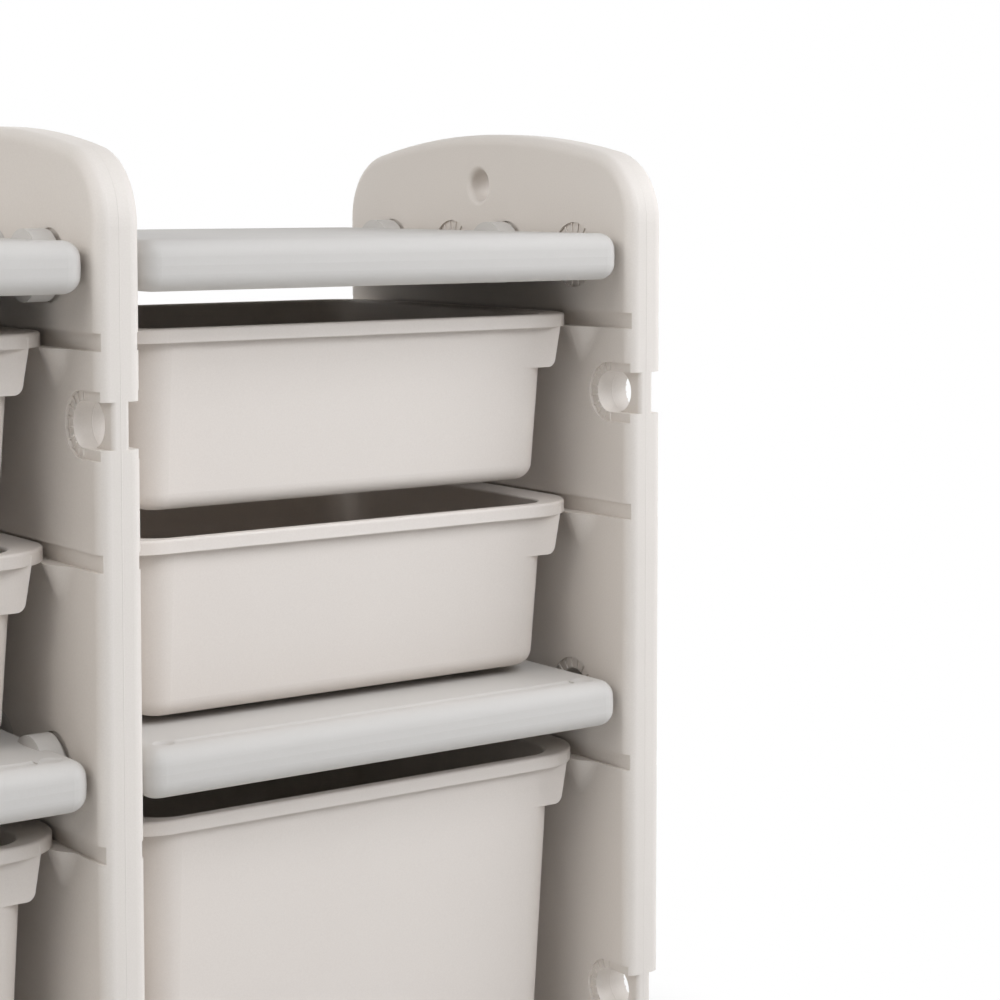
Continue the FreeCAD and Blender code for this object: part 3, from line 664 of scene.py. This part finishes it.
@dataclass(frozen=True)
class SoftLamp:
    """A large square lamp that points at the middle of the cabinet.

    Attributes:
        name: Its name.
        place: Where it hangs, in metres.
        power: Its power in watts.
        colour: Its colour.
        aim: What it points at.
        width: Its width in metres.
    """

    name: str
    place: Point
    power: float
    colour: Colour = WHITE
    aim: Point = (0.0, 0.0, 0.45)
    width: float = 2.2

    def build(self) -> None:
        """Hang the lamp."""
        data = bpy.data.lights.new(self.name, "AREA")
        data.shape = "SQUARE"
        data.size = self.width
        data.energy = self.power
        data.color = self.colour
        lamp = bpy.data.objects.new(self.name, data)
        bpy.context.scene.collection.objects.link(lamp)
        lamp.location = self.place
        lamp.rotation_euler = (Vector(self.aim) - Vector(self.place)).to_track_quat("-Z", "Y").to_euler()
        log.info("lamp %s at %.0f W", self.name, self.power)


@dataclass
class Studio:
    """Soft studio light, a white surround and a pale floor that keeps the shadow.

    Attributes:
        lamps: The lamps.
        surround_light: Strength of the light that comes from all round.
        floor_width: Width of the floor in metres.
        floor_cells: Cells along each side of its mesh.
        floor_tone: Its colour.
        floor_drop: How far it lies below the cabinet's foot.
        mottle_scale: Patches per metre of its faint mottle.
        mottle_shade: Brightness of the mottle's darker patches.
        shadow_reach: Distances from the cabinet over which the floor runs out to white.
    """

    lamps: Sequence[SoftLamp] = (
        SoftLamp("front_lamp", (0.4, -2.6, 2.8), 63.0, COOL_WHITE),
        SoftLamp("right_lamp", (3.0, -1.6, 2.0), 72.0, COOL_WHITE),
        SoftLamp("left_lamp", (-2.5, -0.9, 2.9), 24.0),
        SoftLamp("side_lamp", (-3.2, 0.2, 2.1), 47.0),
        SoftLamp("rear_lamp", (0.4, 3.2, 1.0), 25.0),
    )
    surround_light: float = 0.02
    floor_width: float = 9.0
    floor_cells: int = 4
    floor_tone: Colour = (0.80, 0.80, 0.79)
    floor_drop: float = 0.2 * MILLIMETRE
    mottle_scale: float = 3.0
    mottle_shade: float = 0.97
    shadow_reach: tuple[float, float] = (0.06, 0.40)

    def seen_rays(self, plan: ShaderPlan) -> Wire:
        """One where a ray comes from the camera, a reflection or through glass.

        Args:
            plan: The shader.

        Returns:
            The mask.
        """
        names = ("Is Camera Ray", "Is Glossy Ray", "Is Transmission Ray")
        camera, glossy, through = (plan.node("ShaderNodeLightPath", output=name) for name in names)
        return plan.node("ShaderNodeMath", {"operation": "ADD", "use_clamp": True},
                         {0: camera + glossy, 1: through})

    def surround(self) -> None:
        """Light the scene dimly from all round, and show white behind the object."""
        world = bpy.data.worlds.new("studio_surround")
        world.use_nodes = True
        bpy.context.scene.world = world
        plan = ShaderPlan(world.node_tree)
        strength = self.seen_rays(plan) * (1 - self.surround_light) + self.surround_light
        light = plan.node("ShaderNodeBackground", None, {"Color": with_alpha(WHITE), "Strength": strength})
        plan.node("ShaderNodeOutputWorld", None, {"Surface": light})

    def away(self, plan: ShaderPlan, place: Wire) -> Wire:
        """Distance on the floor from the cabinet's footprint, in metres.

        Args:
            plan: The shader.
            place: Object coordinates of the floor.

        Returns:
            The distance, 0 under the cabinet.
        """
        low, high = CAD_BOX
        half = (high - low) / 2
        squares = []
        for axis, reach in (("X", half.x), ("Y", half.y)):
            along = plan.node("ShaderNodeSeparateXYZ", None, {0: place}, axis)
            past = plan.node("ShaderNodeMath", {"operation": "ABSOLUTE"}, {0: along}) - reach
            clear = plan.node("ShaderNodeMath", {"operation": "MAXIMUM"}, {0: past, 1: 0.0})
            squares.append(clear * clear)
        return plan.node("ShaderNodeMath", {"operation": "SQRT"}, {0: squares[0] + squares[1]})

    def floor_material(self) -> bpy.types.Material:
        """Pale matte floor that runs out to white a little way from the cabinet's foot.

        Returns:
            The material.
        """
        made = bpy.data.materials.new("studio_floor")
        made.use_nodes = True
        plan = ShaderPlan(made.node_tree)
        place = plan.node("ShaderNodeTexCoord", output="Object")
        white = plan.fade(self.away(plan, place), *self.shadow_reach) * self.seen_rays(plan)
        red, green, blue = (self.mottle_shade * part for part in self.floor_tone)
        tone = plan.tint(plan.noise(place, self.mottle_scale), self.floor_tone, (red, green, blue))
        matte = plan.node("ShaderNodeBsdfDiffuse", None, {"Color": tone})
        glow = plan.node("ShaderNodeEmission", None, {"Color": with_alpha(WHITE), "Strength": 1.0})
        mixed = plan.node("ShaderNodeMixShader", None, {0: white, 1: matte, 2: glow})
        plan.node("ShaderNodeOutputMaterial", None, {"Surface": mixed})
        return made

    def floor(self) -> None:
        """Lay the floor."""
        bpy.ops.object.select_all(action="DESELECT")
        bpy.ops.mesh.primitive_grid_add(x_subdivisions=self.floor_cells, y_subdivisions=self.floor_cells,
                                        size=self.floor_width, location=(0.0, 0.0, -self.floor_drop))
        ground = bpy.context.object
        ground.name = "studio_floor"
        bpy.ops.object.transform_apply(location=True, rotation=True, scale=True)
        dress(ground, self.floor_material())

    def build(self) -> None:
        """Set up the studio."""
        bpy.context.scene.view_settings.view_transform = "Standard"
        self.surround()
        self.floor()
        for lamp in self.lamps:
            lamp.build()


@dataclass(frozen=True)
class ViewCamera:
    """The camera that sees the cabinet as the photograph does.

    Attributes:
        place: Where it stands, in metres.
        turn: Degrees that it is turned to the right of straight ahead.
        pitch: Degrees that it looks down.
        lens: Focal length in millimetres.
        sensor: Width of the sensor in millimetres.
        shift: Upward shift of the picture, in picture widths.
    """

    place: Point = (-0.66887, -1.48054, 0.75694)
    turn: float = 36.112
    pitch: float = 3.773
    lens: float = 87.48
    sensor: float = 36.0
    shift: float = -0.15

    def build(self) -> None:
        """Set up the camera and make it the scene's own."""
        data = bpy.data.cameras.new("photo_camera")
        data.sensor_fit = "HORIZONTAL"
        data.sensor_width = self.sensor
        data.lens = self.lens
        data.shift_y = self.shift
        data.dof.use_dof = False
        camera = bpy.data.objects.new("photo_camera", data)
        bpy.context.scene.collection.objects.link(camera)
        camera.location = self.place
        camera.rotation_euler = (math.pi / 2 - math.radians(self.pitch), 0.0, math.radians(-self.turn))
        bpy.context.scene.camera = camera
        log.info("camera at %s", self.place)


def main() -> None:
    """Build the pieces in order and report each one."""
    logging.basicConfig(level=logging.INFO, format="%(name)s: %(message)s")
    ViewCamera().build()
    Studio().build()
    UprightPanels("panels", ("panel_",), PANEL_PLASTIC).build()
    for pieces in (
        MouldedPieces("shelves", ("shelf_bottom", "shelf_middle", "shelf_top"), SHELF_PLASTIC),
        MouldedPieces("bins", ("bin_",), BIN_PLASTIC),
        MouldedPieces("bolts", ("shelf_bolts",), BOLT_PLASTIC),
        MouldedPieces("caps", ("socket_caps",), CAP_PLASTIC),
    ):
        pieces.dress()


if __name__ == "__main__":
    main()
